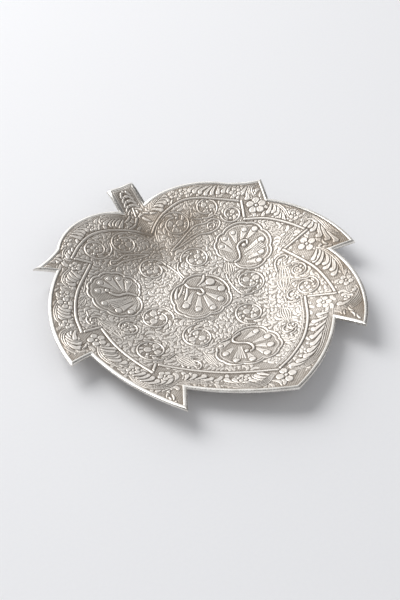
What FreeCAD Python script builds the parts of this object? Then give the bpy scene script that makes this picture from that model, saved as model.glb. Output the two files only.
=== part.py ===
"""Leaf-shaped offering plate: a shallow dish of embossed sheet metal with a bound edge.

The dish is one sheet, raised into a round bowl with a flat base, cut to the outline of a
heart-shaped leaf with three teeth on each side and a square stem tab. Its raw edge is
clasped by a strip folded to a C section, which is fitted in nine lengths and mitred at
the points of the leaf.

The frame: the origin is the centre of the flat base, +Z is up, +Y points to the stem, and
+X is the right side of the leaf as seen from above. Lengths are in millimetres.
"""
import FreeCAD, Part
import math
import os

import Sketcher

Vector = FreeCAD.Vector

# The driving dimensions: cell alias, value and what it measures. Corners of the outline are
# measured from the axis of the leaf (_x) and from the middle of the base (_y).
DIMENSIONS = [
    ("sheet_thickness", 0.9, "thickness of the embossed sheet"),
    ("base_dressing", 0.1, "taken off the underside of the base to make it stand flat"),
    ("base_radius", 36.0, "radius at which the floor starts to rise"),
    ("rim_radius", 136.0, "radius at which the wall would run out level"),
    ("wall_rise", 19.0, "height of the level rim above the floor"),
    ("lobe_dip", 0.25, "share of the rise lost on the line of the stem, across both lobes"),
    ("lobe_dip_angle", 28.0, "angle from the stem at which that loss has faded to a third"),
    ("channel_dip", 0.18, "further share lost in the narrow channel below the stem"),
    ("channel_angle", 7.0, "angle at which the channel has faded to a third"),
    ("stem_lift", 7.0, "height that the stem tab turns up by"),
    ("stem_lift_width", 16.0, "distance from the axis at which the lift has faded to a third"),
    ("stem_lift_start_y", 108.0, "where the tab starts to turn up"),
    ("stem_lift_length", 26.0, "length over which it turns up"),
    ("strip_width", 3.2, "width of the edge strip, seen from above"),
    ("strip_leg", 0.8, "thickness of the strip above and below the sheet"),
    ("strip_wall", 0.9, "thickness of the strip outside the sheet's edge"),
    ("apex_x", 0.0, "apex of the leaf"),
    ("apex_y", -126.0, "apex of the leaf"),
    ("lower_notch_x", 64.6, "inner corner of the lowest tooth"),
    ("lower_notch_y", -82.2, "inner corner of the lowest tooth"),
    ("lower_tip_x", 76.1, "point of the lowest tooth"),
    ("lower_tip_y", -102.8, "point of the lowest tooth"),
    ("side_notch_x", 107.4, "inner corner of the middle tooth"),
    ("side_notch_y", -20.8, "inner corner of the middle tooth"),
    ("side_tip_x", 125.0, "point of the middle tooth, the widest place of the leaf"),
    ("side_tip_y", -25.0, "point of the middle tooth"),
    ("upper_notch_x", 98.1, "inner corner of the upper tooth, right side"),
    ("upper_notch_y", 57.0, "inner corner of the upper tooth, right side"),
    ("left_upper_notch_x", 90.2, "inner corner of the upper tooth, left side"),
    ("left_upper_notch_y", 70.0, "inner corner of the upper tooth, left side"),
    ("upper_tip_x", 105.5, "point of the upper tooth"),
    ("upper_tip_y", 79.0, "point of the upper tooth"),
    ("shoulder_x", 79.0, "where the round of the lobe turns into the hollow of the tooth"),
    ("shoulder_y", 92.0, "where the round of the lobe turns into the hollow of the tooth"),
    ("stem_root_x", 12.1, "half the width of the stem tab"),
    ("stem_root_y", 112.0, "where the lobes meet the stem tab"),
    ("stem_end_x", 12.1, "half the width of the stem tab"),
    ("stem_end_y", 133.5, "end of the stem tab"),
    ("right_point_radius", 147.0, "radius of the edge from the apex to the lowest tooth"),
    ("left_point_radius", 241.0, "the same on the left side"),
    ("right_lower_radius", 97.0, "radius of the edge from the lowest to the middle tooth"),
    ("left_lower_radius", 203.0, "the same on the left side"),
    ("right_upper_radius", 100.0, "radius of the edge from the middle to the upper tooth"),
    ("left_upper_radius", 125.0, "the same on the left side"),
    ("right_flare_radius", 75.0, "radius of the hollow beside the upper tooth"),
    ("left_flare_radius", 75.0, "the same on the left side"),
    ("right_lobe_radius", 70.0, "radius of the lobe"),
    ("left_lobe_radius", 53.0, "the same on the left side"),
]

# The outline of one side, from the apex up to the stem: each corner, and the curve that leads
# on from it. STRAIGHT has no radius, and the flare is the only curve that is hollow.
STRAIGHT = None
CLIMB = [
    ("apex", "point_radius"),
    ("lower_notch", STRAIGHT),
    ("lower_tip", "lower_radius"),
    ("side_notch", STRAIGHT),
    ("side_tip", "upper_radius"),
    ("upper_notch", STRAIGHT),
    ("upper_tip", "flare_radius"),
    ("shoulder", "lobe_radius"),
    ("stem_root", STRAIGHT),
    ("stem_end", STRAIGHT),
]
HOLLOW_CURVES = ("flare_radius",)

# The lengths of the edge strip, each with the two corners where it is mitred, going round
# the leaf against the clock as seen from above.
STRIPS = [
    ("point_strip_right", "right", "apex", "right", "lower_tip"),
    ("lower_strip_right", "right", "lower_tip", "right", "side_tip"),
    ("upper_strip_right", "right", "side_tip", "right", "upper_tip"),
    ("lobe_strip_right", "right", "upper_tip", "right", "stem_root"),
    ("stem_strip", "right", "stem_root", "left", "stem_root"),
    ("lobe_strip_left", "left", "stem_root", "left", "upper_tip"),
    ("upper_strip_left", "left", "upper_tip", "left", "side_tip"),
    ("lower_strip_left", "left", "side_tip", "left", "lower_tip"),
    ("point_strip_left", "left", "lower_tip", "right", "apex"),
]

GRID_STEP = 6.0          # spacing of the points that the formed surface is drawn through
GRID_MARGIN = 12.0       # how far that surface runs past the outline
MITRE_DEPTH = 16.0       # how far a mitre cut runs in from its corner
MITRE_REACH = 60.0       # how far it runs out past it
PRISM_BELOW = 20.0       # how far the vertical cutting prisms reach below the base
PRISM_HEIGHT = 80.0      # and their whole height


def make_sheet(doc):
    """The spreadsheet with the driving dimensions, one per row."""
    cells = doc.addObject("Spreadsheet::Sheet", "Dimensions")
    for row, (alias, value, meaning) in enumerate(DIMENSIONS, start=1):
        cells.set("A%d" % row, alias)
        cells.set("B%d" % row, str(value))
        cells.set("C%d" % row, meaning)
        cells.setAlias("B%d" % row, alias)
    doc.recompute()
    return cells


def corner_cell(cells, side, corner):
    """The name that a corner's two cells start with: the left side has some of its own."""
    own = "%s_%s" % (side, corner)
    return own if hasattr(cells, own + "_x") else corner


def corner_point(cells, side, corner):
    """A corner of the outline, as a point at height zero."""
    stem = corner_cell(cells, side, corner)
    x = getattr(cells, stem + "_x")
    y = getattr(cells, stem + "_y")
    return Vector(x if side == "right" else -x, y, 0)


def outline_edges(cells):
    """The whole outline against the clock: (side, corner, next side, next corner, curve)."""
    edges = []
    for (corner, curve), (following, _) in zip(CLIMB, CLIMB[1:]):
        edges.append(("right", corner, "right", following, curve))
    edges.append(("right", CLIMB[-1][0], "left", CLIMB[-1][0], STRAIGHT))
    for (corner, curve), (following, _) in reversed(list(zip(CLIMB, CLIMB[1:]))):
        edges.append(("left", following, "left", corner, curve))
    return edges


def arc_centre(start, end, radius, hollow):
    """Centre of the arc between two points, to the left of the way from start to end, or to
    the right of it for a hollow arc."""
    half = (end - start) * 0.5
    across = Vector(-half.y, half.x, 0)
    across.normalize()
    reach = math.sqrt(radius ** 2 - half.Length ** 2)
    return start + half + across * (-reach if hollow else reach)


def draw_outline(doc, cells):
    """The sketch of the outer edge of the bound plate, every size of it tied to the sheet."""
    sketch = doc.addObject("Sketcher::SketchObject", "leaf_outline")
    starts = []
    ends = []
    for side, corner, next_side, following, curve in outline_edges(cells):
        start = corner_point(cells, side, corner)
        end = corner_point(cells, next_side, following)
        if curve is STRAIGHT:
            edge = sketch.addGeometry(Part.LineSegment(start, end))
            starts.append((edge, 1))
            ends.append((edge, 2))
            continue
        hollow = curve in HOLLOW_CURVES
        radius_cell = "%s_%s" % (side, curve)
        radius = getattr(cells, radius_cell)
        centre = arc_centre(start, end, radius, hollow)
        first, last = (end, start) if hollow else (start, end)
        circle = Part.Circle(centre, Vector(0, 0, 1), radius)
        arc = Part.ArcOfCircle(circle, circle.parameter(first), circle.parameter(last))
        edge = sketch.addGeometry(arc)
        starts.append((edge, 2 if hollow else 1))
        ends.append((edge, 1 if hollow else 2))
        sketch.addConstraint(Sketcher.Constraint("Radius", edge, radius))
        name = "%s_radius_%d" % (side, edge)
        sketch.renameConstraint(sketch.ConstraintCount - 1, name)
        sketch.setExpression("Constraints." + name, "Dimensions." + radius_cell)
    for end, start in zip(ends, starts[1:] + starts[:1]):
        sketch.addConstraint(Sketcher.Constraint("Coincident", *end, *start))
    for (side, corner, *_), start in zip(outline_edges(cells), starts):
        place_corner(sketch, cells, side, corner, start)
    return sketch


def place_corner(sketch, cells, side, corner, vertex):
    """Tie a vertex of the sketch to its two cells, each measured from the origin."""
    point = corner_point(cells, side, corner)
    stem = corner_cell(cells, side, corner)
    origin = (-1, 1)
    for letter, kind, value in (("x", "DistanceX", point.x), ("y", "DistanceY", point.y)):
        cell = "Dimensions.%s_%s" % (stem, letter)
        written = getattr(cells, "%s_%s" % (stem, letter))
        pair = (origin, vertex) if value >= 0 else (vertex, origin)
        sketch.addConstraint(Sketcher.Constraint(kind, *pair[0], *pair[1], abs(value)))
        name = "%s_%s_%s" % (side, corner, letter)
        sketch.renameConstraint(sketch.ConstraintCount - 1, name)
        sketch.setExpression("Constraints." + name, cell if written >= 0 else "-" + cell)


def eased(share):
    """Smooth step from 0 to 1 with level ends."""
    share = min(max(share, 0.0), 1.0)
    return share * share * (3.0 - 2.0 * share)


def underside_height(cells, x, y):
    """Height of the underside of the sheet above the ground."""
    radius = math.hypot(x, y)
    angle = math.degrees(math.atan2(abs(x), y))
    wall = eased((radius - cells.base_radius) / (cells.rim_radius - cells.base_radius))
    lobes = cells.lobe_dip * math.exp(-(angle / cells.lobe_dip_angle) ** 2)
    channel = cells.channel_dip * math.exp(-(angle / cells.channel_angle) ** 2)
    tab = eased((y - cells.stem_lift_start_y) / cells.stem_lift_length)
    tab = tab * math.exp(-(x / cells.stem_lift_width) ** 4)
    rise = cells.wall_rise * wall * (1.0 - lobes - channel)
    return rise + cells.stem_lift * tab - cells.base_dressing


def formed_slab(doc, cells, name, bottom, top):
    """A solid layer that follows the formed sheet, from bottom to top above its underside."""
    across = cells.side_tip_x + GRID_MARGIN
    columns = int(math.ceil(2.0 * across / GRID_STEP))
    low = cells.apex_y - GRID_MARGIN
    high = cells.stem_end_y + GRID_MARGIN
    rows = int(math.ceil((high - low) / GRID_STEP))
    grid = []
    for column in range(columns + 1):
        x = -across + 2.0 * across * column / columns
        line = []
        for row in range(rows + 1):
            y = low + (high - low) * row / rows
            line.append(Vector(x, y, underside_height(cells, x, y) + bottom))
        grid.append(line)
    surface = Part.BSplineSurface()
    surface.interpolate(grid)
    slab = doc.addObject("Part::Feature", name)
    slab.Shape = surface.toShape().extrude(Vector(0, 0, top - bottom))
    return slab


def inset_sketch(doc, outline, name, inset):
    """The outline moved inwards by an expression of the sheet, with sharp corners."""
    sharp_corners = 1
    moved = doc.addObject("Part::Offset2D", name)
    moved.Source = outline
    moved.Join = sharp_corners
    moved.setExpression("Value", "-" + inset)
    return moved


def prism(doc, base, name):
    """A tall solid standing on a closed outline, for cutting."""
    tall = doc.addObject("Part::Extrusion", name)
    tall.Base = base
    tall.DirMode = "Custom"
    tall.Dir = Vector(0, 0, 1)
    tall.LengthFwd = PRISM_HEIGHT - PRISM_BELOW
    tall.LengthRev = PRISM_BELOW
    tall.Solid = True
    return tall


def boolean(doc, kind, name, base, tool):
    """A Part::Cut or Part::Common of two objects."""
    result = doc.addObject("Part::" + kind, name)
    result.Base = base
    result.Tool = tool
    return result


def travel_direction(cells, edge, at_start):
    """Direction in which the outline runs at the start or the end of one of its edges."""
    side, corner, next_side, following, curve = edge
    start = corner_point(cells, side, corner)
    end = corner_point(cells, next_side, following)
    if curve is STRAIGHT:
        direction = end - start
    else:
        hollow = curve in HOLLOW_CURVES
        radius = getattr(cells, "%s_%s" % (side, curve))
        centre = arc_centre(start, end, radius, hollow)
        spoke = (start if at_start else end) - centre
        direction = Vector(-spoke.y, spoke.x, 0) * (-1 if hollow else 1)
    direction.normalize()
    return direction


def mitre_direction(cells, side, corner):
    """Unit vector along the mitre at a corner, pointing into the leaf."""
    edges = outline_edges(cells)
    place = corner_point(cells, side, corner)
    arriving = None
    leaving = None
    for edge in edges:
        if corner_point(cells, edge[2], edge[3]).isEqual(place, 1e-6):
            arriving = travel_direction(cells, edge, at_start=False)
        if corner_point(cells, edge[0], edge[1]).isEqual(place, 1e-6):
            leaving = travel_direction(cells, edge, at_start=True)
    # The leaf lies to the left of both directions.
    inwards = Vector(-arriving.y - leaving.y, arriving.x + leaving.x, 0)
    inwards.normalize()
    return inwards


def strip_sector(doc, cells, name, side, corner, far_side, far_corner):
    """A tall wedge from the middle of the leaf that holds one length of the edge strip."""
    first = corner_point(cells, side, corner)
    last = corner_point(cells, far_side, far_corner)
    first_in = mitre_direction(cells, side, corner)
    last_in = mitre_direction(cells, far_side, far_corner)
    points = [
        first + first_in * MITRE_DEPTH,
        first - first_in * MITRE_REACH,
        last - last_in * MITRE_REACH,
        last + last_in * MITRE_DEPTH,
        Vector(0, 0, 0),
    ]
    face = Part.Face(Part.makePolygon(points + points[:1]))
    face.translate(Vector(0, 0, -PRISM_BELOW))
    wedge = doc.addObject("Part::Feature", name + "_sector")
    wedge.Shape = face.extrude(Vector(0, 0, PRISM_HEIGHT))
    return wedge


def make_dish(doc, cells, outline):
    """The embossed sheet: formed, cut to the outline and dressed flat under the base."""
    sheet = formed_slab(doc, cells, "sheet_layer", 0.0, cells.sheet_thickness)
    edge = prism(doc, inset_sketch(doc, outline, "sheet_outline", "Dimensions.strip_wall"),
                 "sheet_prism")
    cut_out = boolean(doc, "Common", "sheet_cut_out", sheet, edge)
    ground = doc.addObject("Part::Box", "ground")
    for length, expression in (("Length", "4 * Dimensions.side_tip_x"),
                               ("Width", "4 * Dimensions.side_tip_x"),
                               ("Height", "Dimensions.wall_rise")):
        ground.setExpression(length, expression)
    ground.setExpression("Placement.Base.x", "-2 * Dimensions.side_tip_x")
    ground.setExpression("Placement.Base.y", "-2 * Dimensions.side_tip_x")
    ground.setExpression("Placement.Base.z", "-Dimensions.wall_rise")
    dish = boolean(doc, "Cut", "embossed_dish", cut_out, ground)
    dish.Label = "embossed_dish"
    return dish


def make_strips(doc, cells, outline, dish):
    """The edge strip: a C section round the sheet's edge, in mitred lengths."""
    low = -cells.strip_leg
    high = cells.sheet_thickness + cells.strip_leg
    layer = formed_slab(doc, cells, "strip_layer", low, high)
    outer = prism(doc, outline, "strip_prism")
    inner = prism(doc, inset_sketch(doc, outline, "strip_inner_outline",
                                    "Dimensions.strip_width"), "strip_inner_prism")
    band = boolean(doc, "Common", "strip_band", layer, outer)
    ring = boolean(doc, "Cut", "strip_ring", band, inner)
    clasp = boolean(doc, "Cut", "strip_clasp", ring, dish)
    strips = []
    for name, side, corner, far_side, far_corner in STRIPS:
        wedge = strip_sector(doc, cells, name, side, corner, far_side, far_corner)
        strip = boolean(doc, "Common", name, clasp, wedge)
        strip.Label = name
        strips.append(strip)
    return strips


def check(doc, parts):
    """Stop if any object has failed, or a sub-part isn't one valid solid."""
    for item in doc.Objects:
        if "Invalid" in item.State or "Error" in item.State:
            raise RuntimeError("%s failed: %s" % (item.Name, item.State))
    for part in parts:
        shape = part.Shape
        if shape.isNull() or not shape.isValid() or len(shape.Solids) != 1:
            raise RuntimeError("%s isn't one valid solid" % part.Label)
        box = shape.BoundBox
        print("%-20s %8.1f mm3  z %5.2f to %5.2f" % (part.Label, shape.Volume, box.ZMin, box.ZMax))


def main():
    doc = FreeCAD.newDocument("offering_plate")
    cells = make_sheet(doc)
    outline = draw_outline(doc, cells)
    dish = make_dish(doc, cells, outline)
    parts = [dish] + make_strips(doc, cells, outline, dish)
    doc.recompute()
    check(doc, parts)
    os.makedirs("parts", exist_ok=True)
    for part in parts:
        part.Shape.exportStep("parts/%s.step" % part.Label)


main()
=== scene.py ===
"""The looks of the leaf-shaped offering plate, built round its CAD frame.

The sheet is one closed mesh whose upper side carries the embossing as real relief. Raised
lines, leaves, scrolls and knobs are laid on a height map, each in its own groove, and the
material hatches the ground that is left. Lengths here are in millimetres, in the frame of the
CAD model, and become metres when a mesh is made.
"""

import math

import bpy
import numpy as np
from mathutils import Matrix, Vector


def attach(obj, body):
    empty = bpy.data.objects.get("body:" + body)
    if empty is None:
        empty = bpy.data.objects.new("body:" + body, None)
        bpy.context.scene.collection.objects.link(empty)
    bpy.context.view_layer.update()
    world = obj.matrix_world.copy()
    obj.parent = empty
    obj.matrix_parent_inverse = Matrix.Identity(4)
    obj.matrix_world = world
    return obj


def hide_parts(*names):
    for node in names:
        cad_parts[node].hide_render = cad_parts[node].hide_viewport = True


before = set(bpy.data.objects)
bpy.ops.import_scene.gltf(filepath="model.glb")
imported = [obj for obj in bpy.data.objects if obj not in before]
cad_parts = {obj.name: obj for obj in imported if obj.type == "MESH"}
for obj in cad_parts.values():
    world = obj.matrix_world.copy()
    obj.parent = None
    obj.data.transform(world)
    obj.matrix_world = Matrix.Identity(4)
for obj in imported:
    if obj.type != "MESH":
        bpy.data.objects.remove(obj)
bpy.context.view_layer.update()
MM = 0.001
rng = np.random.default_rng(7)


# ---- the form of the plate

SHEET = 0.9  # thickness of the sheet
BASE_DRESSING = 0.1  # taken off under the base
BASE_RADIUS = 36.0  # where the floor starts to rise
RIM_RADIUS = 136.0  # where the wall would run out level
WALL_RISE = 19.0
LOBE_DIP = 0.25  # share of the rise lost on the line of the stem, across both lobes
LOBE_DIP_ANGLE = 28.0
CHANNEL_DIP = 0.18  # further share lost in the narrow channel below the stem
CHANNEL_ANGLE = 7.0
STEM_LIFT = 7.0  # height that the stem tab turns up by
STEM_LIFT_WIDTH = 16.0
STEM_LIFT_START = 108.0
STEM_LIFT_LENGTH = 26.0
STEM_FOOT = 112.0  # where the lobes meet the stem tab
STRIP_WIDTH = 3.2  # width of the edge strip, seen from above

# Corners of the outline on each side, from the apex up to the stem, with the radius of the
# curve that leads on from each (None is straight, and a negative radius is a hollow curve).
RIGHT_SIDE = [
    ((0, -126), 147), ((64.6, -82.2), None), ((76.1, -102.8), 97),
    ((107.4, -20.8), None), ((125, -25), 100), ((98.1, 57), None),
    ((105.5, 79), -75), ((79, 92), 70), ((12.1, 112), None), ((12.1, 133.5), None),
]
LEFT_SIDE = [
    ((0, -126), 241), ((-64.6, -82.2), None), ((-76.1, -102.8), 203),
    ((-107.4, -20.8), None), ((-125, -25), 125), ((-90.2, 70), None),
    ((-105.5, 79), -75), ((-79, 92), 53), ((-12.1, 112), None),
    ((-12.1, 133.5), None),
]


def eased(share):
    """Smooth step from 0 to 1 with level ends."""
    share = np.clip(share, 0.0, 1.0)
    return share * share * (3.0 - 2.0 * share)


def underside(x, y):
    """Height of the smooth sheet's underside above the ground, the same as in the CAD model."""
    radius = np.hypot(x, y)
    angle = np.degrees(np.arctan2(np.abs(x), y))
    wall = eased((radius - BASE_RADIUS) / (RIM_RADIUS - BASE_RADIUS))
    lobes = LOBE_DIP * np.exp(-(angle / LOBE_DIP_ANGLE) ** 2)
    channel = CHANNEL_DIP * np.exp(-(angle / CHANNEL_ANGLE) ** 2)
    tab = eased((y - STEM_LIFT_START) / STEM_LIFT_LENGTH) * np.exp(-(x / STEM_LIFT_WIDTH) ** 4)
    return WALL_RISE * wall * (1.0 - lobes - channel) + STEM_LIFT * tab - BASE_DRESSING


def arc_centre(start, end, radius):
    """Centre of the arc from start to end: on its left, or on its right if hollow."""
    half = (end - start) / 2.0
    across = np.array([-half[1], half[0]]) / np.hypot(*half)
    reach = math.sqrt(radius ** 2 - half @ half)
    return start + half + across * math.copysign(reach, radius)


class Edge:
    """One edge of the outline, going against the clock."""

    def __init__(self, start, end, radius):
        self.start = np.array(start)
        self.end = np.array(end)
        self.radius = radius
        if radius:
            self.centre = arc_centre(self.start, self.end, radius)

    def heading(self, point):
        """Unit direction of travel at one of the edge's ends."""
        if not self.radius:
            way = self.end - self.start
        else:
            spoke = (point - self.centre) * math.copysign(1.0, self.radius)
            way = np.array([-spoke[1], spoke[0]])
        return way / np.hypot(*way)

    def walk(self, start, end, shares):
        """Points from start to end, two inset ends of this edge, along the edge's own curve."""
        if not self.radius:
            return start + shares[:, None] * (end - start)
        first = start - self.centre
        last = end - self.centre
        turn = math.atan2(first[0] * last[1] - first[1] * last[0], first @ last)
        angles = math.atan2(first[1], first[0]) + turn * shares
        radii = np.hypot(*first) + (np.hypot(*last) - np.hypot(*first)) * shares
        return self.centre + radii[:, None] * np.stack([np.cos(angles), np.sin(angles)], 1)


def outline_edges():
    """All the edges against the clock, from the apex up the right side and down the left."""
    edges = []
    for (corner, radius), (following, _) in zip(RIGHT_SIDE, RIGHT_SIDE[1:]):
        edges.append(Edge(corner, following, radius))
    edges.append(Edge(RIGHT_SIDE[-1][0], LEFT_SIDE[-1][0], None))
    for (corner, radius), (following, _) in reversed(list(zip(LEFT_SIDE, LEFT_SIDE[1:]))):
        edges.append(Edge(following, corner, radius))
    return edges


EDGES = outline_edges()


def inset_corner(index, inset):
    """The corner where edge number index starts, moved inwards with both its edges."""
    arriving = EDGES[index - 1]
    leaving = EDGES[index % len(EDGES)]
    corner = leaving.start
    a = arriving.heading(corner)
    b = leaving.heading(corner)
    normals = np.array([-a[1] - b[1], a[0] + b[0]])
    return corner + inset * normals / (1.0 + a @ b)


def inset_edge(index, inset, shares):
    """Points along an edge at a distance inside the outline."""
    start = inset_corner(index, inset)
    end = inset_corner(index + 1, inset)
    return EDGES[index].walk(start, end, shares)


def inset_outline(inset, step=0.8):
    """The closed outline, moved inwards, as evenly spaced points."""
    points = []
    for index, edge in enumerate(EDGES):
        count = max(2, int(np.hypot(*(edge.end - edge.start)) / step))
        points.append(inset_edge(index, inset, np.arange(count) / count))
    return np.concatenate(points)


def inside(x, y, loop):
    """Whether each point is inside a closed loop."""
    result = np.zeros(x.shape, bool)
    for (ax, ay), (bx, by) in zip(loop, np.roll(loop, -1, 0)):
        if ay != by:
            crosses = (ay > y) != (by > y)
            result ^= crosses & (x < ax + (y - ay) * (bx - ax) / (by - ay))
    return result


def nearest(x, y, loop):
    """Distance to a dense loop and the index of its nearest point, for each x, y."""
    best = np.full(x.shape, 1e9)
    index = np.zeros(x.shape, int)
    for number, (px, py) in enumerate(loop):
        distance = (x - px) ** 2 + (y - py) ** 2
        closer = distance < best
        best[closer] = distance[closer]
        index[closer] = number
    return np.sqrt(best), index


# ---- the height map

FINE = 0.4  # grid of the embossed side
COARSE = 2.0 * FINE  # grid of the underside
GRID_LOW = np.array([-127.2, -128.0])
GRID_CELLS = np.array([318, 330])
xs = GRID_LOW[0] + FINE * np.arange(2 * GRID_CELLS[0] + 1)
ys = GRID_LOW[1] + FINE * np.arange(2 * GRID_CELLS[1] + 1)
grid_x, grid_y = np.meshgrid(xs, ys, indexing="ij")
relief = np.zeros(grid_x.shape)
GROUND = -0.14  # depth of the chased groove round a shape
GROOVE = 0.62  # width of that groove
SHOULDER = 0.45  # width of a shape's rounded edge
STRENGTH = 0.78  # how much of the drawn height the worn relief still has
WREATH_PITCH = 3.0  # between the rings of small leaves in the field
WREATH_LEAF = 5.4  # between the small leaves of one ring
WREATH_RINGS = 12  # round each scroll, where its neighbours leave room
BLADE_WIDTH = 4.0  # of the border's leaves, at their tips
FAR = 9.0  # more than any distance or height drawn on the map
WEAR = 0.12  # how far the finished relief is softened


def window(low, high):
    """The part of the grid between two corners."""
    first = np.maximum(np.ceil((low - GRID_LOW) / FINE), 0).astype(int)
    last = np.maximum((high - GRID_LOW) / FINE + 1, first).astype(int)
    return slice(first[0], last[0]), slice(first[1], last[1])


def near_path(path, radii, reach):
    """The patch of grid round a path, and how far each of its places is outside the path's line.

    radii is half the line's width, one for all or one per point. Inside the line it is negative.
    """
    path = np.atleast_2d(path)
    radii = np.broadcast_to(radii, len(path))
    margin = radii.max() + reach + FINE
    across, along = window(path.min(0) - margin, path.max(0) + margin)
    away = np.full((across.stop - across.start, along.stop - along.start), FAR)
    for point, radius in zip(path, radii):
        part = window(point - radius - reach, point + radius + reach)
        near_x = xs[part[0], None] - point[0]
        near_y = ys[None, part[1]] - point[1]
        inner = (slice(part[0].start - across.start, part[0].stop - across.start),
                 slice(part[1].start - along.start, part[1].stop - along.start))
        np.minimum(away[inner], np.hypot(near_x, near_y) - radius, out=away[inner])
    return relief[across, along], away


def raise_shape(path, radii, height, groove=GROOVE):
    """Raise a flat-topped line with round shoulders, and cut a groove round it."""
    patch, away = near_path(path, radii, groove)
    share = np.clip(-away / SHOULDER, 0.0, 1.0)
    rise = np.where(away < 0.0, height * (1.0 - (1.0 - share) ** 2), -FAR)
    patch[away < groove] = GROUND
    np.maximum(patch, rise, out=patch)


def crease(path, depth=0.2, radius=0.5):
    """Cut a fine line into what is there."""
    patch, away = near_path(path, 0.0, radius)
    patch -= depth * np.clip(1.0 - away / radius, 0.0, 1.0)


def smooth(points, closed=False, step=0.5):
    """A Catmull-Rom curve through the points, sampled evenly."""
    points = np.asarray(points, float)
    if closed:
        points = np.concatenate([points[-1:], points, points[:2]])
    else:
        points = np.concatenate([2 * points[:1] - points[1:2], points,
                                 2 * points[-1:] - points[-2:-1]])
    pieces = []
    for a, b, c, d in zip(points, points[1:], points[2:], points[3:]):
        count = max(1, int(np.hypot(*(c - b)) / step))
        t = (np.arange(count) / count)[:, None]
        pieces.append(0.5 * (2 * b + (c - a) * t + (2 * a - 5 * b + 4 * c - d) * t ** 2
                             + (3 * b - a - 3 * c + d) * t ** 3))
    pieces.append(points[-2:-1])
    return np.concatenate(pieces)


def line(points, width=1.5, height=0.5, start=1.0, end=1.0, closed=False, groove=GROOVE):
    """A raised line. start and end scale its width at its two ends."""
    path = smooth(points, closed)
    scale = start + (end - start) * np.linspace(0.0, 1.0, len(path))
    raise_shape(path, width / 2.0 * scale, height, groove)


def knob(x, y, radius, height=0.75, groove=GROOVE):
    """A round boss."""
    raise_shape((x, y), radius, height, groove)


def turned(x, y, length, angle):
    """The point at a distance and an angle in degrees from another."""
    return x + length * math.cos(math.radians(angle)), y + length * math.sin(math.radians(angle))


def comma(x, y, length, angle, bend=40.0, width=2.4, height=0.5, tail=0.3, vein=0.0, groove=GROOVE):
    """A small curved leaf: thin where it starts, with a full round end that curls."""
    points = [(x, y)]
    for turn in (0.0, 0.3, 0.7, 1.15):
        points.append(turned(*points[-1], length / 4.0, angle + bend * turn))
    path = smooth(points, step=0.4)
    swell = np.sin(np.linspace(0.0, math.pi * 0.72, len(path))) ** 0.8
    raise_shape(path, width / 2.0 * (tail + (1.0 - tail) * swell), height, groove)
    if vein:
        crease(path[len(path) // 5:-1], vein, 0.55)


def spiral(x, y, outer, start, turns, hand, inner=2.0, width=1.5, height=0.55):
    """A volute that winds in from its outer radius and ends in a knob."""
    share = np.linspace(0.0, 1.0, max(12, int(turns * outer * 10)))
    angle = np.radians(start + hand * 360.0 * turns * share)
    radius = outer + (inner - outer) * share
    path = np.stack([x + radius * np.cos(angle), y + radius * np.sin(angle)], 1)
    raise_shape(path, width / 2.0, height, 0.45)
    knob(*path[-1], width * 0.85, height + 0.1)


def scallop(cusps, bulge, scale=1.0):
    """The closed curve with an arc that bulges outwards between each two cusps."""
    cusps = np.asarray(cusps, float)
    centre = cusps.mean(0)
    cusps = centre + scale * (cusps - centre)
    pieces = []
    for a, b in zip(cusps, np.roll(cusps, -1, 0)):
        chord = b - a
        out = np.array([chord[1], -chord[0]])
        if out @ ((a + b) / 2.0 - centre) < 0.0:
            out = -out
        share = np.linspace(0.0, 1.0, max(6, int(np.hypot(*chord) / 0.5)), endpoint=False)[:, None]
        pieces.append(a + chord * share + out * bulge * (4.0 * share * (1.0 - share)) ** 0.8)
    return np.concatenate(pieces)


def plateau(loop, height):
    """Clear the inside of a closed curve to one level."""
    across, along = window(loop.min(0), loop.max(0))
    part_x, part_y = grid_x[across, along], grid_y[across, along]
    relief[across, along][inside(part_x, part_y, loop[::3])] = height


def flower(x, y, radius, petals, start, height):
    """A flower of broad petals, each with three fine creases, about a knob."""
    for number in range(petals):
        angle = start + 360.0 * number / petals
        near = turned(x, y, radius * 0.3, angle)
        far = turned(x, y, radius * 0.64, angle)
        line([near, far], radius * 0.8, height, start=0.5, end=1.0, groove=0.34)
        for vein in (-13.0, 0.0, 13.0):
            crease(smooth([near, turned(x, y, radius * 0.86, angle + vein)]), 0.16, 0.45)
    knob(x, y, radius * 0.2, height + 0.08)


def rod(x, y, tip_x, tip_y, ball):
    """A finger of a shell: a petal that widens outwards, with veins, and ends in a ball."""
    line([(x, y), (tip_x, tip_y)], 6.4, 0.36, start=0.25, end=1.0, groove=0.35)
    side = np.array([y - tip_y, tip_x - x]) / math.hypot(tip_x - x, tip_y - y)
    for vein in (-2.2, -1.1, 0.0, 1.1, 2.2):
        crease(smooth([(x, y), np.array([tip_x, tip_y]) + side * vein]), 0.14, 0.45)
    knob(tip_x, tip_y, ball * 1.12, 0.68, 0.4)


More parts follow.
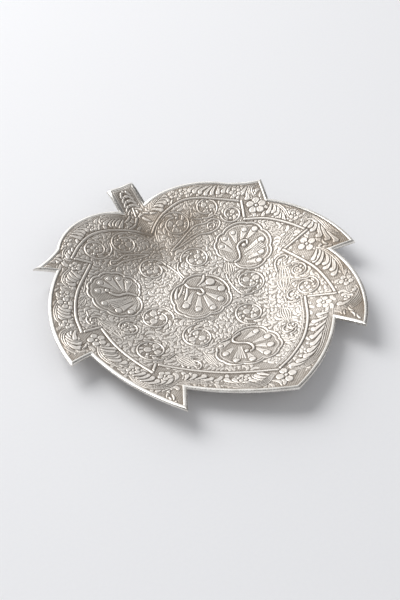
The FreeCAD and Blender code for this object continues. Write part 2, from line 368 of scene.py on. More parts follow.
def acanthus(spine, blades, side, reach, ribs):
    """A leaf: ribs that flow along its spine, and veined blades that peel off to one side.

    All blades leave from the first part of the spine, so the last are long and sweep on with
    it. reach is how far from the spine their tips lie.
    """
    path = smooth(spine)
    way = np.gradient(path, axis=0)
    way /= np.hypot(*way.T)[:, None]
    out = side * np.stack([-way[:, 1], way[:, 0]], 1)
    share = np.linspace(0.0, 1.0, len(path))
    for number in reversed(range(blades)):
        late = (number + 0.7) / blades
        far = reach * (1.0 - 0.4 * late ** 2) * rng.uniform(0.78, 1.12)
        points = []
        for along, off in ((0.32, 0.0), (0.6, 0.2), (0.86, 0.62), (1.0, 0.95), (0.98, 1.12)):
            at = int((len(path) - 1) * late * along)
            points.append(path[at] + out[at] * far * off)
        blade = smooth(points, step=0.4)
        swell = 0.25 + 0.75 * np.linspace(0.0, 1.0, len(blade))
        raise_shape(blade, BLADE_WIDTH / 2.0 * swell, 0.62, 0.45)
        crease(blade[3:-4], 0.2, 0.55)
    for rib in range(ribs):
        beside = (rib - 0.25) * 1.5 * np.sin(math.pi * (0.12 + 0.8 * share))
        swell = 0.45 + 0.55 * np.sin(math.pi * share) ** 0.6
        raise_shape(path - out * beside[:, None], 0.72 * swell, 0.62 - 0.08 * rib, 0.4)


def bud(x, y, tip_x, tip_y, width, veins=2):
    """A slender pointed bud with veins from end to end."""
    base = np.array([x, y])
    tip = np.array([tip_x, tip_y])
    across = np.array([y - tip_y, tip_x - x]) / math.hypot(tip_x - x, tip_y - y)
    for number in sorted(range(-veins, veins + 1), key=abs, reverse=True):
        offset = across * width / 2.0 * number / veins
        line([base, base * 0.66 + tip * 0.34 + offset, base * 0.3 + tip * 0.7 + offset * 0.8,
              tip], 1.6, 0.55, start=0.5, end=0.5, groove=0.5)


# ---- the ornament

# The raised line that frames the field, from the notch of the heart round to it again. Each
# stretch between two corners starts where the one before it ends.
FIELD_STRETCHES = [
    [(8, 87.5), (20, 93.5), (37, 96.5), (51, 91.5), (62, 83), (79, 68)],
    [(71.5, 51.5)],
    [(86, 41), (97, 25.5), (104, 10)],
    [(79, 6.5)],
    [(84, -12), (86.3, -28), (84.5, -46), (81, -60)],
    [(63, -45.5)],
    [(51, -65.5), (36, -81.5), (17, -93.5), (0, -100.5)],
    [(-15, -91.5), (-33, -79.5), (-53, -62.5), (-69.5, -47)],
    [(-76.5, -55)],
    [(-81.5, -38), (-85.5, -17), (-86, 5.5)],
    [(-102, 4.5)],
    [(-97, 24), (-84, 46), (-60, 70)],
    [(-72, 79)],
    [(-60, 89.5), (-46, 96.5), (-30, 96), (-12, 89), (0, 80)],
]
FIELD_LINE = [before[-1:] + stretch
              for before, stretch in zip(FIELD_STRETCHES[-1:] + FIELD_STRETCHES, FIELD_STRETCHES)]

# The field's scrolls: the stem's way in, then the middle of the volute, its radius, the angle
# at which it starts, and the way it turns.
SCROLLS = [
    ([(-3, 26), (-3, 36), (-5.5, 47)], -18, 47, 12, 0, 1),
    ([(-1, 27), (-1, 36), (3, 43)], 18, 41, 12, 165, -1),
    ([(-22, -13), (-29, -7)], -42, -1, 13, -28, 1),
    ([(34, 22), (28, 10), (26.5, -2), (28, -12), (34, -15)], 41, -3, 12, -110, 1),
    ([(-3, -24), (-12, -20), (-20, -19.3)], -24.5, -33, 12.8, 70, 1),
    ([(3, -42), (9, -44), (18, -44.5)], 22, -32.5, 12.5, -105, -1),
    ([(-50, -42), (-58, -45)], -63, -31, 13, -80, -1),
    ([(52, -34), (50, -40)], 58.5, -38, 8, 200, 1),
    ([(60, -26), (68, -26), (76, -31)], 71, -37, 9.5, 45, -1),
    ([(1, 72), (5, 82), (13, 88.5)], 22, 78.5, 13, 125, -1),
    ([(33, 86), (36, 77), (43, 72)], 51.5, 79.5, 10.5, 225, 1),
    ([(54, 70), (57, 66)], 65.5, 62.5, 8.6, 160, 1),
    ([(-2, 70), (-8, 82), (-15, 88)], -25, 79.5, 11.5, 50, 1),
    ([(-36, 84), (-38, 77), (-43, 72.5)], -49.5, 81.5, 10.5, -60, -1),
    ([(34, -68), (31, -74)], 33.5, -66, 6, 250, 1),
    ([(-88, 24), (-90, 17)], -86, 13, 7, 130, 1),
    ([(-34, -58), (-41, -52)], -46, -60, 8, 120, 1),
    ([(66, -6), (74, -10)], 76, -18, 7, 90, -1),
    ([(-52, 4), (-58, 4)], -66, -2, 9, 30, 1),
]

ROSETTE = [(-5, 22), (14, 21), (20.5, -5), (8, -16.5), (-4, -17),
           (-22, -8.5), (-23, 4.5)]
SHELL_LEFT = [(-43.5, 27), (-51, 11.5), (-61, 11.5), (-72.5, 20.5), (-76.5, 35.5),
              (-75, 46), (-69.5, 52), (-61, 55.5), (-50, 55.5), (-42, 49),
              (-36.5, 41), (-38.5, 33)]
SHELL_RIGHT = [(43, 22), (46.5, 10), (63.5, 8.5), (73.5, 17.5), (77, 34.5),
               (71, 47), (50, 50.5), (41.5, 46.5), (37, 39), (38, 30)]
SHELL_BOTTOM = [(-9, -47.5), (-22, -55), (-25, -68), (-14.5, -78.5), (0.5, -82.5),
                (15, -80), (22, -70.5), (20.8, -57.5), (18, -48.3), (-4, -48)]


def draw_medallion(cusps, bulge=0.22):
    """A scalloped frame of two lines round a level ground."""
    outer = scallop(cusps, bulge)
    plateau(outer, 0)
    raise_shape(outer, 0.85, 0.6)
    raise_shape(scallop(cusps, bulge, 0.88), 0.5, 0.25, 0.3)


def draw_rosette():
    """The plant in its scalloped frame, in the middle of the floor."""
    draw_medallion(ROSETTE)
    for petal in [
            (5, 12.5, 14, 12.5, 3.4), (8.5, 9, 17.5, 1.5, 2.8), (5, 3, 11, -7.8, 2.4),
            (2, 2.5, 1, -13, 2.3), (-1.5, 3.5, -9.5, -8.5, 2.3), (-4, 9, -16, -0.5, 2.6),
            (-5, 14, -8.5, 13, 1.6)]:
        rod(*petal)
    for leaf in [(-4, 18, 15, -118, -14), (-7, 19.5, 14, -130, -18),
                 (-11, 20, 12, -136, 16), (3, 14, 13, 18, 30)]:
        comma(*leaf, 2.4, 0.5)
    line([(-4, 20), (-3.5, 15.5), (0, 12), (3.6, 9.5), (3.5, 5), (0.3, 4),
          (-0.8, 6.8)], 2, 0.7)


def draw_shell(cusps, curl, rods, horn):
    """A scalloped shell with its curl, the ball-ended rods that fan from it, and a ribbed horn."""
    draw_medallion(cusps, 0.2)
    for petal in rods:
        rod(*petal)
    near = np.array(horn[0])
    far = np.array(horn[1])
    across = np.array([near[1] - far[1], far[0] - near[0]]) / np.hypot(*(far - near))
    for share in (-1, -0.33, 0.33, 1):
        line([near + across * share * 0.8, far + across * share * 2.8], 1.5, 0.4, 0.7, 1, groove=0.3)
    line(curl, 2.4, 0.85, start=0.8, end=0.8)
    knob(*curl[-1], 1.8, 0.9)


def draw_shells():
    """The three shells about the rosette."""
    draw_shell(SHELL_LEFT,
               [(-43.5, 28), (-46, 31), (-50, 33), (-56, 33.2), (-60, 36),
                (-62, 40.5)],
               [(-50, 22, -64, 18.5, 2.5), (-49, 19, -56, 14, 2.2),
                (-52, 29, -70.5, 28.5, 2.2), (-58, 39, -69, 42, 2),
                (-56, 40, -63, 49, 1.9), (-53, 38, -55, 51, 1.8),
                (-50, 37, -47.5, 49, 1.8), (-48, 35, -42, 43, 1.7)],
               ((-49, 25.5), (-66, 24.5)))
    draw_shell(SHELL_RIGHT,
               [(43, 21), (47.5, 21.8), (50.5, 26.5), (52.5, 32.5), (57, 35.2),
                (61.5, 34), (60.5, 30.8), (57.5, 31)],
               [(55, 25.5, 71.5, 26.8, 2.4), (54, 18, 65, 17, 2.4),
                (51, 15, 59, 10.8, 2.2), (63, 35, 73, 38.5, 2.3),
                (59, 37, 66, 43, 2), (54, 37, 57, 46, 1.8),
                (49, 35, 48.5, 45, 1.8), (46.5, 31, 42.5, 40, 1.7)],
               ((53.5, 21.5), (70, 21.8)))
    draw_shell(SHELL_BOTTOM,
               [(3, -46.5), (-4, -48.5), (-6, -52), (-3.5, -55.5), (1, -59),
                (2.8, -63), (1.5, -67.5), (-1.5, -68.8), (-4.2, -67)],
               [(-7, -50, -16.5, -51, 1.8), (-10, -58, -18.5, -61, 2.3),
                (-8, -62, -16.5, -72, 2.3), (-5, -70, -6.5, -78, 2.4),
                (3, -69, 6, -78.5, 2.4), (5, -66, 13.5, -71.8, 2.5),
                (5.5, -61.5, 17, -62.5, 2.5), (3, -54, 14, -52, 2.2)],
               ((-5.5, -60), (-12, -72)))


def draw_scrolls():
    """The vine that fills the field: volutes, each about a flower with small leaves."""
    for stem, x, y, radius, start, hand in SCROLLS:
        leaves = max(5, int(radius * 0.8))
        for number in range(leaves):
            angle = start + hand * (15.0 + 345.0 * number / leaves) + rng.uniform(-9, 9)
            rooted = turned(x, y, radius * 0.95, angle)
            comma(*rooted, radius * rng.uniform(0.45, 0.65), angle + 180.0 - hand * 65,
                  hand * 60, rng.uniform(2.6, 3.4), 0.32, 0.4, 0.12, 0.4)
        inner_x, inner_y = turned(x, y, radius * 0.12, start + 90)
        flower(inner_x, inner_y, radius * rng.uniform(0.45, 0.6), rng.integers(3, 6), start, 0.34)
        entry = turned(x, y, radius, start)
        line(stem + [entry], 1.8, 0.65, start=0.5, end=1, groove=0.5)
        spiral(x, y, radius, start, 1.2, hand, inner=radius * 0.5, width=1.6, height=0.62)


def draw_field_extras():
    """Buds and leaf-shaped cartouches between the scrolls."""
    bud(54.5, -31, 71, -3, 9)
    line([(63, -8), (66, -1), (71, 2.5), (76.5, 1.5), (77, -2), (73.5, -2.5)], 1.7, 0.6)
    bud(46, -41, 38, -60, 7)
    spiral(38, -65, 4.5, 80, 0.9, 1, 1.6)
    bud(30.5, 10, 39, 25.5, 7.5)
    bud(-77, -12, -84, 14, 12)
    bud(-51, -44, -45, -64, 8)
    bud(-31, -50, -32, -72, 6)
    line([(6, 57.5), (16, 62), (26, 66.5), (35, 69.2), (43, 67), (50, 67.2),
          (54, 62), (50, 57.6), (42, 57), (33, 60), (20, 58.5)], 1.6, 0.6, closed=True)
    spiral(46.5, 62, 3.8, 200, 1, -1, 1.4)
    line([(16, 59.8), (28, 62.5), (40, 63)], 1, 0.35)
    line([(-13, 62), (-22, 66), (-31, 68.5), (-39, 66), (-44, 67),
          (-46, 63.5), (-42, 61.5), (-35, 63.5), (-24, 62.5)], 1.6, 0.6, closed=True)
    bud(79, 11, 97, 17.5, 4.5, 1)
    bud(80.5, 30, 90, 20.5, 5, 1)
    bud(83, 38, 88, 30.5, 4.5, 1)
    bud(-92, 30, -82, 38, 5, 1)
    bud(-80, 44, -70, 58, 4.5, 1)


# The border's leaves: the spine, how many blades, on which side of it, how long they are, and
# how many flowing ribs run along the spine.
ACANTHUS = [
    ([(97.5, 53), (100.5, 46.5), (101.5, 39.5), (100.5, 33), (101, 27)], 5, -1, 9, 2),
    ([(100.5, 51.5), (105, 44.5), (107.5, 37)], 0, -1, 0, 2),
    ([(108, 17.5), (111, 21), (115.5, 19), (117, 10), (116.5, 1), (118.5, -7),
      (121.5, -14)], 7, -1, 10.5, 4),
    ([(98.5, -9.5), (101.5, -16), (102.8, -26), (101.5, -37), (97.5, -47)], 7, -1, 11, 2),
    ([(90.5, -66), (93, -62), (97, -63.5), (95.5, -69), (88, -74), (78, -76),
      (67.5, -72)], 2, -1, 6, 5),
    ([(68, -71), (61, -78), (50, -88), (38, -99), (27, -105.5), (15, -108),
      (6, -105.5)], 9, -1, 8.5, 4),
    ([(-6, -102.5), (-17, -105.5), (-29, -100.5), (-41, -91.5)], 7, -1, 8, 4),
    ([(-63, -73.5), (-53, -79.5), (-46.5, -86.5)], 4, 1, 7, 3),
    ([(-104, -50), (-103.5, -58), (-99, -68), (-90, -77), (-82, -82)], 0, 1, 0, 3),
    ([(-92.5, -50), (-90.5, -61), (-84, -69.5), (-75, -73.5), (-66, -72)], 6, 1, 8.5, 3),
    ([(-97.5, -13), (-100.5, -22), (-99, -32), (-93.5, -42)], 7, 1, 10, 2),
    ([(-103, 8), (-109.5, 9.5), (-115.5, 6.5), (-118.5, -1), (-118, -9), (-115.5, -15)],
     6, 1, 10.5, 3),
    ([(-103.5, 40), (-109.5, 32), (-112.5, 23), (-111, 18)], 5, 1, 10, 2),
    ([(-77.5, 69), (-84.5, 65), (-89.5, 58.5), (-89, 50.5)], 5, 1, 8.5, 2),
    ([(-99, 81.5), (-90.5, 84), (-83, 89.5), (-77, 96.5)], 4, -1, 8, 3),
    ([(-65, 90.5), (-73, 88), (-79, 81)], 3, 1, 7, 2),
    ([(-64, 101.5), (-57, 106.5), (-47, 110), (-37, 110.5)], 6, -1, 8.5, 2),
    ([(-12, 102.5), (-20, 107), (-30, 109)], 5, 1, 8.5, 4),
    ([(11.5, 102.5), (18.5, 107), (28, 110.5), (33, 108)], 5, -1, 8.5, 4),
    ([(75, 92.5), (66, 98), (57, 103.5), (49, 107.5)], 6, 1, 9, 3),
    ([(88, 83), (80, 87.5), (71.5, 90)], 4, 1, 7, 3),
    ([(100.5, 76.5), (94, 77.5), (89.5, 73), (89.5, 66)], 4, -1, 8.5, 3),
]
# Middle, radius, number of petals, turn and height of each flower in the border.
FLOWERS = [
    (86.5, 57, 8, 5, 60, 0.72), (105.5, 29, 4.6, 4, 80, 0.42),
    (95.8, -1.5, 7.2, 4, 85, 0.5), (95, -54, 5.6, 5, 20, 0.5),
    (69, -61, 6, 5, 40, 0.34), (1, -109, 7.6, 4, 80, 0.6),
    (-25.5, -93.5, 4.4, 5, 0, 0.5), (-70.5, -62.5, 5.6, 5, 30, 0.45),
    (-87.5, -47, 5.2, 5, 10, 0.5), (-95.5, -7, 6.8, 5, 90, 0.55),
    (-107.5, 15.5, 5, 5, 30, 0.5), (-98.5, 37, 6.2, 4, 60, 0.6),
    (-95, 45.5, 4.4, 4, 20, 0.5), (-73.5, 70, 4.6, 5, 0, 0.5),
    (-69.5, 95, 5.2, 4, 50, 0.5), (-41, 103.5, 4.4, 5, 15, 0.5),
    (36, 105.5, 4.4, 5, 0, 0.5), (44.5, 103.5, 4.2, 4, 25, 0.5),
    (80, 78.5, 5, 5, 10, 0.5),
]
# Small single leaves: where each starts, its length, heading, bend and width.
LEAFLETS = [
    (78.5, -78, 6, -110, 40, 2), (76.5, -83.5, 6, -70, -40, 2),
    (78.5, -88.5, 5.5, -115, 30, 1.8), (75, -79, 5, -150, 40, 1.8),
    (-76, -78.5, 7, -150, 40, 2.8), (-79, -80.5, 7, -125, 40, 2.6),
    (-80.5, -84.5, 7, -85, 20, 2.4), (-77, -83, 6, -95, -20, 2),
    (107.5, -6, 7, -120, 50, 2.2), (122, -10, 7, -75, 20, 1.6),
    (-86, 84, 7, -30, -30, 2.6), (-92, 82, 6, -20, -20, 2),
    (-110, -12, 6, 10, 40, 2.2), (-14, 99.5, 9, 20, 25, 2.6),
    (-7, 95, 9, 40, 20, 2.6), (-14, 92, 9, 5, 30, 2.2), (7, 92, 8, 130, -20, 2.6),
    (15, 97, 9, 160, -20, 2.4), (9, 99.5, 5, 120, 20, 2.2),
]


# The tips left to the hatching: from where to where across, and below which height.
HATCHED_TIPS = [(106, 124, -5), (70, 95, -76), (-92, -68, -78), (-12, 12, -112)]


def fill_border(field):
    """Low leaves that follow the edge, behind the border's large leaves."""
    edge = inset_outline(0.0)
    ahead = np.roll(edge, -3, 0) - np.roll(edge, 3, 0)
    spots_x, spots_y = np.meshgrid(np.arange(-122.0, 124.0, 4.3), np.arange(-118.0, 112.0, 4.3))
    spots_x = spots_x.ravel() + rng.uniform(-0.9, 0.9, spots_x.size)
    spots_y = spots_y.ravel() + rng.uniform(-0.9, 0.9, spots_y.size)
    distance, index = nearest(spots_x, spots_y, edge)
    chosen = (inside(spots_x, spots_y, edge) & ~inside(spots_x, spots_y, field)
              & (distance > 4.6) & (distance < 13.0))
    for left, right, top in HATCHED_TIPS:
        chosen &= (spots_x < left) | (spots_x > right) | (spots_y > top)
    for x, y, at in zip(spots_x[chosen], spots_y[chosen], index[chosen]):
        along = math.degrees(math.atan2(*ahead[at, ::-1]))
        lean = rng.choice([-1.0, 1.0])
        comma(x, y, rng.uniform(6.5, 9.0), along + lean * rng.uniform(5.0, 35.0), lean * 60.0,
              rng.uniform(2.8, 3.6), rng.uniform(0.3, 0.42), 0.4, 0.15, 0.42)


def draw_border():
    """The leaves and flowers between the field and the edge strip, and on the stem."""
    for leaf in ACANTHUS:
        acanthus(*leaf)
    for bloom in FLOWERS:
        flower(*bloom)
    for leaflet in LEAFLETS:
        comma(*leaflet, 0.7)
    draw_stem()


def draw_stem():
    """A palm of arched leaves up the stem."""
    for number in range(5):
        y = 109.0 + number * 4.1
        size = 7.6 - 0.7 * number
        for side in (-1, 1):
            line([(0.0, y + 1.6), (side * size * 0.45, y + 1.0), (side * size * 0.8, y - 2.2)],
                 2.6, 0.55, start=0.8, end=0.8, groove=0.4)
    for side in (-1, 1):
        comma(side * 0.5, 104.0, 6.0, 90.0 + side * 60.0, -side * 70.0, 2.4, 0.7)
    line([(-1.5, 103.0), (-0.5, 107.5), (0.5, 111.5)], 2.0, 0.75)
    knob(0.0, 127.6, 1.2)


def draw_frames():
    """The line round the field, a finer one inside its lower right stretch, and the stem's."""
    raise_shape(smooth(FIELD_LINE[6]) * 0.962, 0.5, 0.3, 0.35)
    for stretch in FIELD_LINE:
        line(stretch, 2.2, 0.7, groove=0.7)
    for side in (-1, 1):
        line([(side * 8.2, 108.0), (side * 8.2, 129.2)], 1.0, 0.45)
    line([(-8.2, 129.2), (8.2, 129.2)], 1.0, 0.45)


def fill_field(loop):
    """Wreaths of small leaves round each scroll, out to where the next scroll's wreaths begin."""
    centres = np.array([(x, y) for _, x, y, *_ in SCROLLS])
    radii = np.array([radius for _, _, _, radius, *_ in SCROLLS])
    for number, (_, x, y, radius, _, hand) in enumerate(SCROLLS):
        for reach in radius + 1.0 + WREATH_PITCH * np.arange(WREATH_RINGS):
            leaves = int(2.0 * math.pi * reach / WREATH_LEAF)
            angles = 360.0 * np.arange(leaves) / leaves + rng.uniform(0.0, 360.0)
            turns = np.radians(angles)
            places = np.stack([x + reach * np.cos(turns), y + reach * np.sin(turns)], 1)
            rivals = np.hypot(*(centres - places[:, None]).transpose(2, 0, 1)) - radii
            mine = (rivals.argmin(1) == number) & inside(*places.T, loop)
            for place, angle in zip(places[mine], angles[mine]):
                comma(*place, rng.uniform(5.6, 8.0), angle + hand * rng.uniform(70.0, 92.0),
                      hand * rng.choice([-60.0, 80.0]), rng.uniform(2.6, 3.3),
                      rng.uniform(0.22, 0.3), 0.45, 0.1, 0.36)


def blur(values, reach):
    """Gaussian blur of a map, reach in millimetres."""
    spread = 2.0 * (math.pi * reach / FINE) ** 2
    fx = np.fft.fftfreq(values.shape[0])[:, None]
    fy = np.fft.rfftfreq(values.shape[1])[None, :]
    return np.fft.irfft2(np.fft.rfft2(values) * np.exp(-spread * (fx ** 2 + fy ** 2)), values.shape)


def emboss():
    """Draw the whole ornament. Returns its height map, and 1 where the ground is bare."""
    loop = np.concatenate([smooth(stretch)[:-1] for stretch in FIELD_LINE])[::4]
    fill_border(loop)
    fill_field(loop)
    draw_border()
    draw_scrolls()
    draw_field_extras()
    draw_rosette()
    draw_shells()
    draw_frames()
    bare = np.clip(1.0 - np.abs(relief) / 0.12, 0.0, 1.0)
    return blur(STRENGTH * relief, WEAR), bare


# ---- meshes

def new_object(name, data):
    made = bpy.data.objects.new(name, data)
    bpy.context.scene.collection.objects.link(made)
    return made


def add_piece(name, vertices, faces, material, smooth_angle=None):
    """A mesh object from points in millimetres, riding on the one body of the row."""
    mesh = bpy.data.meshes.new(name)
    mesh.from_pydata((np.asarray(vertices) * MM).tolist(), [], faces)
    mesh.shade_smooth()
    if smooth_angle:
        mesh.set_sharp_from_angle(angle=math.radians(smooth_angle))
    mesh.materials.append(material)
    piece = new_object(name, mesh)
    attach(piece, "root")
    return piece


def point_values(mesh, name, above, below):
    """Store one number per vertex for the material to read: the top's, then the underside's."""
    layer = mesh.attributes.new(name, "FLOAT", "POINT")
    layer.data.foreach_set("value", np.concatenate([above, below]).astype(np.float32))


SHEET_INSET = 1.6  # from the outline to the sheet's own edge, inside the strip
RELIEF_START = 0.1  # from the strip to the first relief
RELIEF_FADE = 1.2  # the width over which it comes to its full height
RIM_REACH = 3.5  # how far the tarnish beside the strip reaches
RIM_FADE = 6.0  # the length over which that tarnish ends below the stem
HOLLOW_BLUR = 0.9  # how softly the punched hollows show on the underside
HOLLOW_DEPTH = 0.5  # their depth, as a share of the relief
CREVICE_REACH = 1.3  # a crevice is lower than its surroundings, this far out
UV_TOP = (0.01, 0.64)  # where the top starts across the UV map, and its width there
UV_UNDER = (0.67, 0.32)  # the same for the underside
UV_UP = (0.01, 0.98)  # where both start up the map, and their height


def make_dish(material):
    """The embossed sheet as one closed mesh: fine grid above, coarse grid below, a thin edge."""
    height, bare = emboss()
    loop = inset_outline(SHEET_INSET, 0.5)
    coarse_x = grid_x[::2, ::2]
    coarse_y = grid_y[::2, ::2]
    node_in = inside(coarse_x, coarse_y, loop)
    cell_in = node_in[:-1, :-1] & node_in[1:, :-1] & node_in[:-1, 1:] & node_in[1:, 1:]
    distance, _ = nearest(coarse_x, coarse_y, inset_outline(0.0))

    # The fine cells are the coarse cells, each cut in four.
    fine_in = np.repeat(np.repeat(cell_in, 2, 0), 2, 1)
    past_strip = spread_out(distance) - STRIP_WIDTH
    height = height * eased((past_strip - RELIEF_START) / RELIEF_FADE)
    rim = np.exp(-np.clip(past_strip, 0.0, None) / RIM_REACH)
    rim *= np.clip((STEM_FOOT - grid_y) / RIM_FADE, 0.0, 1.0)
    x = grid_x.copy()
    y = grid_y.copy()

    edge_fine = rim_nodes(fine_in)
    _, index = nearest(x[edge_fine], y[edge_fine], loop)
    x[edge_fine], y[edge_fine] = loop[index].T
    base = underside(x, y)
    top = base + SHEET + height
    bottom = base + HOLLOW_DEPTH * np.clip(blur(height, HOLLOW_BLUR), 0.0, None)
    bottom = np.maximum(bottom, 0.0)[::2, ::2]

    upper_number, upper = number_nodes(fine_in)
    lower_number, lower = number_nodes(cell_in)
    vertices = np.concatenate([
        np.stack([x[upper], y[upper], top[upper]], 1),
        np.stack([x[::2, ::2][lower], y[::2, ::2][lower], bottom[lower]], 1)])
    faces = quads(upper_number, fine_in, False)
    below = quads(lower_number + upper.sum(), cell_in, True)
    walls = edge_walls(upper_number, lower_number + upper.sum(), cell_in)
    piece = add_piece("embossed_sheet", vertices, faces + below + walls, material)

    # The material darkens the colour by this crevice value, as patina in the hollows and as painted
    # shade there; on the underside it darkens the punched hollows the same way.
    crevice = height - blur(height, CREVICE_REACH)
    none_below = np.zeros(lower.sum())
    below_crevice = -HOLLOW_DEPTH * crevice[::2, ::2][lower]
    point_values(piece.data, "raised", height[upper], none_below)
    point_values(piece.data, "crevice", crevice[upper], below_crevice)
    point_values(piece.data, "under", np.zeros(upper.sum()), none_below + 1.0)
    point_values(piece.data, "bare", bare[upper], none_below)
    point_values(piece.data, "rim", rim[upper], none_below)
    unwrap_flat(piece.data, vertices, upper.sum())
    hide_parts("embossed_dish")
    return piece


def unwrap_flat(mesh, vertices, upper_count):
    """A UV map as seen from above: the top on the left, and narrower, the underside on the right."""
    low = vertices[:, :2].min(0)
    across, up = ((vertices[:, :2] - low) / (vertices[:, :2].max(0) - low)).T
    corners = np.zeros(len(mesh.loops), np.int32)
    mesh.loops.foreach_get("vertex_index", corners)
    counts = np.zeros(len(mesh.polygons), np.int32)
    mesh.polygons.foreach_get("loop_total", counts)
    on_underside = np.logical_and.reduceat(corners >= upper_count, np.cumsum(counts) - counts)
    below = np.repeat(on_underside, counts)
    width = np.where(below, UV_UNDER[1], UV_TOP[1])
    u = np.where(below, UV_UNDER[0], UV_TOP[0]) + width * across[corners]
    v = UV_UP[0] + UV_UP[1] * up[corners]
    layer = mesh.uv_layers.new(name="OFBake")
    layer.data.foreach_set("uv", np.stack([u, v], 1).ravel().astype(np.float32))


def spread_out(coarse):
    """A coarse map brought to the fine grid by halving each cell."""
    fine = np.zeros((2 * coarse.shape[0] - 1, 2 * coarse.shape[1] - 1))
    fine[::2, ::2] = coarse
    fine[1::2, ::2] = (coarse[:-1] + coarse[1:]) / 2.0
    fine[:, 1::2] = (fine[:, :-1:2] + fine[:, 2::2]) / 2.0
    return fine


def node_mask(cells):
    """Nodes that at least one of the chosen cells touches."""
    nodes = np.zeros((cells.shape[0] + 1, cells.shape[1] + 1), bool)
    for i in (0, 1):
        for j in (0, 1):
            nodes[i:i + cells.shape[0], j:j + cells.shape[1]] |= cells
    return nodes


def rim_nodes(cells):
    """Nodes on the border of the chosen cells."""
    return node_mask(cells) & node_mask(~cells)


def number_nodes(cells):
    """A running number for each node that is used, and the mask of those nodes."""
    used = node_mask(cells)
    numbers = np.cumsum(used.ravel()).reshape(used.shape) - 1
    return numbers, used


def quads(numbers, cells, flipped):
    """One face per chosen cell."""
    i, j = np.nonzero(cells)
    corners = [numbers[i, j], numbers[i + 1, j], numbers[i + 1, j + 1], numbers[i, j + 1]]
    if flipped:
        corners.reverse()
    return np.stack(corners, 1).tolist()


def edge_walls(upper, lower, cells):
    """The thin wall between the two grids: one face per coarse edge on the border."""
    padded = np.pad(cells, 1)
    faces = []
    for i, j in zip(*np.nonzero(cells)):
        for di, dj, a, b in ((0, -1, (0, 0), (1, 0)), (1, 0, (1, 0), (1, 1)),
                             (0, 1, (1, 1), (0, 1)), (-1, 0, (0, 1), (0, 0))):
            if padded[i + 1 + di, j + 1 + dj]:
                continue
            first = (i + a[0], j + a[1])
            last = (i + b[0], j + b[1])
            middle = upper[first[0] + last[0], first[1] + last[1]]
            faces.append([int(lower[first]), int(lower[last]),
                          int(upper[2 * last[0], 2 * last[1]]), int(middle),
                          int(upper[2 * first[0], 2 * first[1]])])
    return faces


# The edge strip's section: distance inside the outline, and height above the sheet's underside.
# It starts on the sheet, rises over a crest near its inner side, slopes outwards, turns down
# the outer wall, and comes back under the sheet, leaving the groove that clasps it.
SECTION = [
    (3.18, 0.92), (3.12, 1.22), (2.85, 1.52), (2.45, 1.66), (2.0, 1.62), (1.3, 1.5), (0.7, 1.34),
    (0.3, 1.1), (0.08, 0.75), (0.02, 0.3), (0.1, -0.1), (0.04, -0.38), (0.2, -0.66), (0.55, -0.78),
    (1.3, -0.76), (2.4, -0.68), (3.0, -0.5), (3.18, -0.25), (3.18, -0.02), (1.0, -0.02), (1.0, 0.92),
]
# Each length of the strip, and its first edge and the one after its last, counted from the apex.
STRIPS = [
    ("point_strip_right", 0, 2), ("lower_strip_right", 2, 4), ("upper_strip_right", 4, 6),
    ("lobe_strip_right", 6, 8), ("stem_strip", 8, 11), ("lobe_strip_left", 11, 13),
    ("upper_strip_left", 13, 15), ("lower_strip_left", 15, 17), ("point_strip_left", 17, 19),
]


def make_strip(name, first, last, material):
    """One length of the edge strip: its section swept along the outline, mitred at both ends."""
    rings = []
    for index in range(first, last):
        edge = EDGES[index]
        count = max(4, int(np.hypot(*(edge.end - edge.start)) / 1.5))
        shares = np.arange(count + (index == last - 1)) / count
        tracks = [inset_edge(index, inset, shares) for inset, _ in SECTION]
        rings.append(np.stack(tracks, 1))
    rings = np.concatenate(rings)
    heights = underside(rings[..., 0], rings[..., 1]) + np.array([z for _, z in SECTION])
    vertices = np.concatenate([rings, heights[..., None]], 2).reshape(-1, 3)
    around = len(SECTION)
    faces = []
    for ring in range(len(rings) - 1):
        for step in range(around):
            a = ring * around + step
            b = ring * around + (step + 1) % around
            faces.append([a, b, b + around, a + around])
    faces.append(list(range(around))[::-1])
    faces.append([(len(rings) - 1) * around + step for step in range(around)])
    piece = add_piece(name + "_bright", vertices, faces, material, 40.0)
    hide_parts(name)
    return piece


# ---- materials

def new_material(name):
    """A new material, with its node tree and its shader."""
    material = bpy.data.materials.new(name)
    material.use_nodes = True
    tree = material.node_tree
    return material, tree, tree.nodes["Principled BSDF"]


def node(tree, kind, inputs=None, **settings):
    """A node with its settings and its inputs: a number, a colour or another node's output."""
    made = tree.nodes.new(kind)
    for key, value in settings.items():
        setattr(made, key, value)
    for key, value in (inputs or {}).items():
        if isinstance(value, bpy.types.NodeSocket):
            tree.links.new(value, made.inputs[key])
        else:
            made.inputs[key].default_value = value
    return made


def noise(tree, where, scale, detail):
    """Cloudy noise, with scale in clouds per metre."""
    return node(tree, "ShaderNodeTexNoise", {"Vector": where, "Scale": scale, "Detail": detail,
                                             "Roughness": 0.55}).outputs["Fac"]


def ranged(tree, value, low, high, to_low=0.0, to_high=1.0):
    """A value carried from one range to another, and held at its ends."""
    return node(tree, "ShaderNodeMapRange", {"Value": value, "From Min": low, "From Max": high,
                                             "To Min": to_low, "To Max": to_high}).outputs[0]


def maths(tree, operation, a, b):
    return node(tree, "ShaderNodeMath", {0: a, 1: b}, operation=operation).outputs[0]


def vector(tree, operation, a, b=(0.0, 0.0, 0.0), out="Vector"):
    return node(tree, "ShaderNodeVectorMath", {0: a, 1: b}, operation=operation).outputs[out]


def mixed(tree, share, a, b):
    """A blend of two colours."""
    inputs = {"Factor": share, "A": a, "B": b}
    return node(tree, "ShaderNodeMix", inputs, data_type="RGBA").outputs["Result"]


def hatching(tree, where, turn, pitch):
    """Even parallel lines, 0 to 1, at an angle in degrees across the plate."""
    across = (math.cos(math.radians(turn)), math.sin(math.radians(turn)), 0.0)
    along = vector(tree, "DOT_PRODUCT", where, across, "Value")
    wave = maths(tree, "SINE", maths(tree, "MULTIPLY", along, 2.0 * math.pi / (pitch * MM)), 0.0)
    return ranged(tree, wave, -1.0, 1.0)


